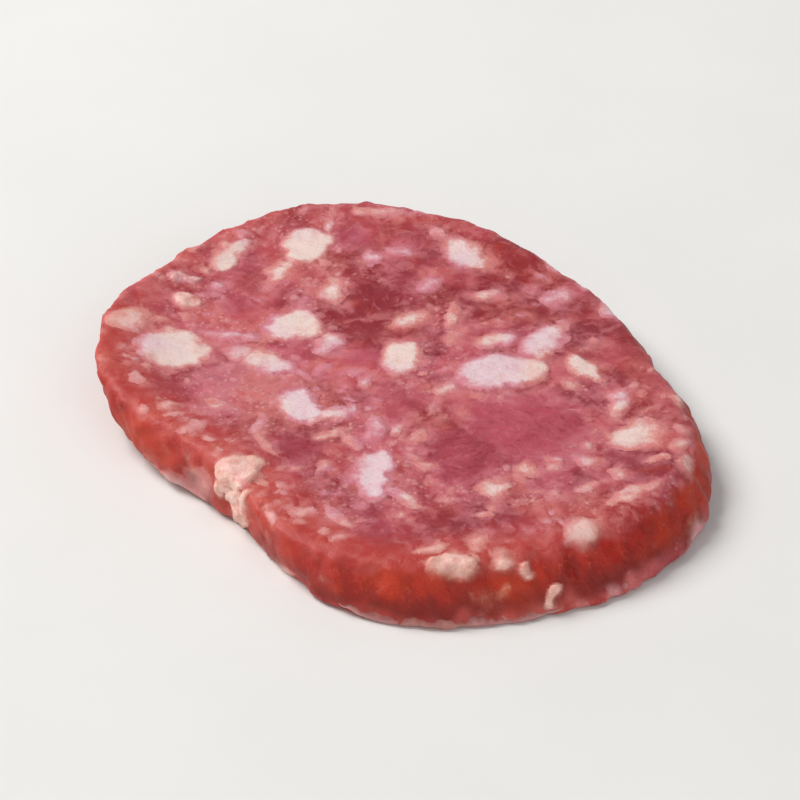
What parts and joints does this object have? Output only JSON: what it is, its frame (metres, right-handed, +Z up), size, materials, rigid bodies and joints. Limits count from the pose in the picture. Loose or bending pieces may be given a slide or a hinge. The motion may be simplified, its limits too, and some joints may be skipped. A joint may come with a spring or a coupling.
{
  "type": "cured sausage slice",
  "caption": "Hand-cut slice of coarse-grained cured sausage, an uneven bias-cut oval lying flat on its lower cut face.",
  "frame": {"origin": "middle of the slice's bounding box, on the surface that its flat underside rests on", "axes": "+Z up out of the upper cut face, -Y towards the front where the skin flares, +X to the right of someone who looks along +Y"},
  "size_m": [0.0462, 0.0494, 0.0054],
  "materials": {
    "cured_meat": "satin"
  },
  "bodies": {
    "root": {"salami_slice": "cured_meat"}
  },
  "joints": []
}
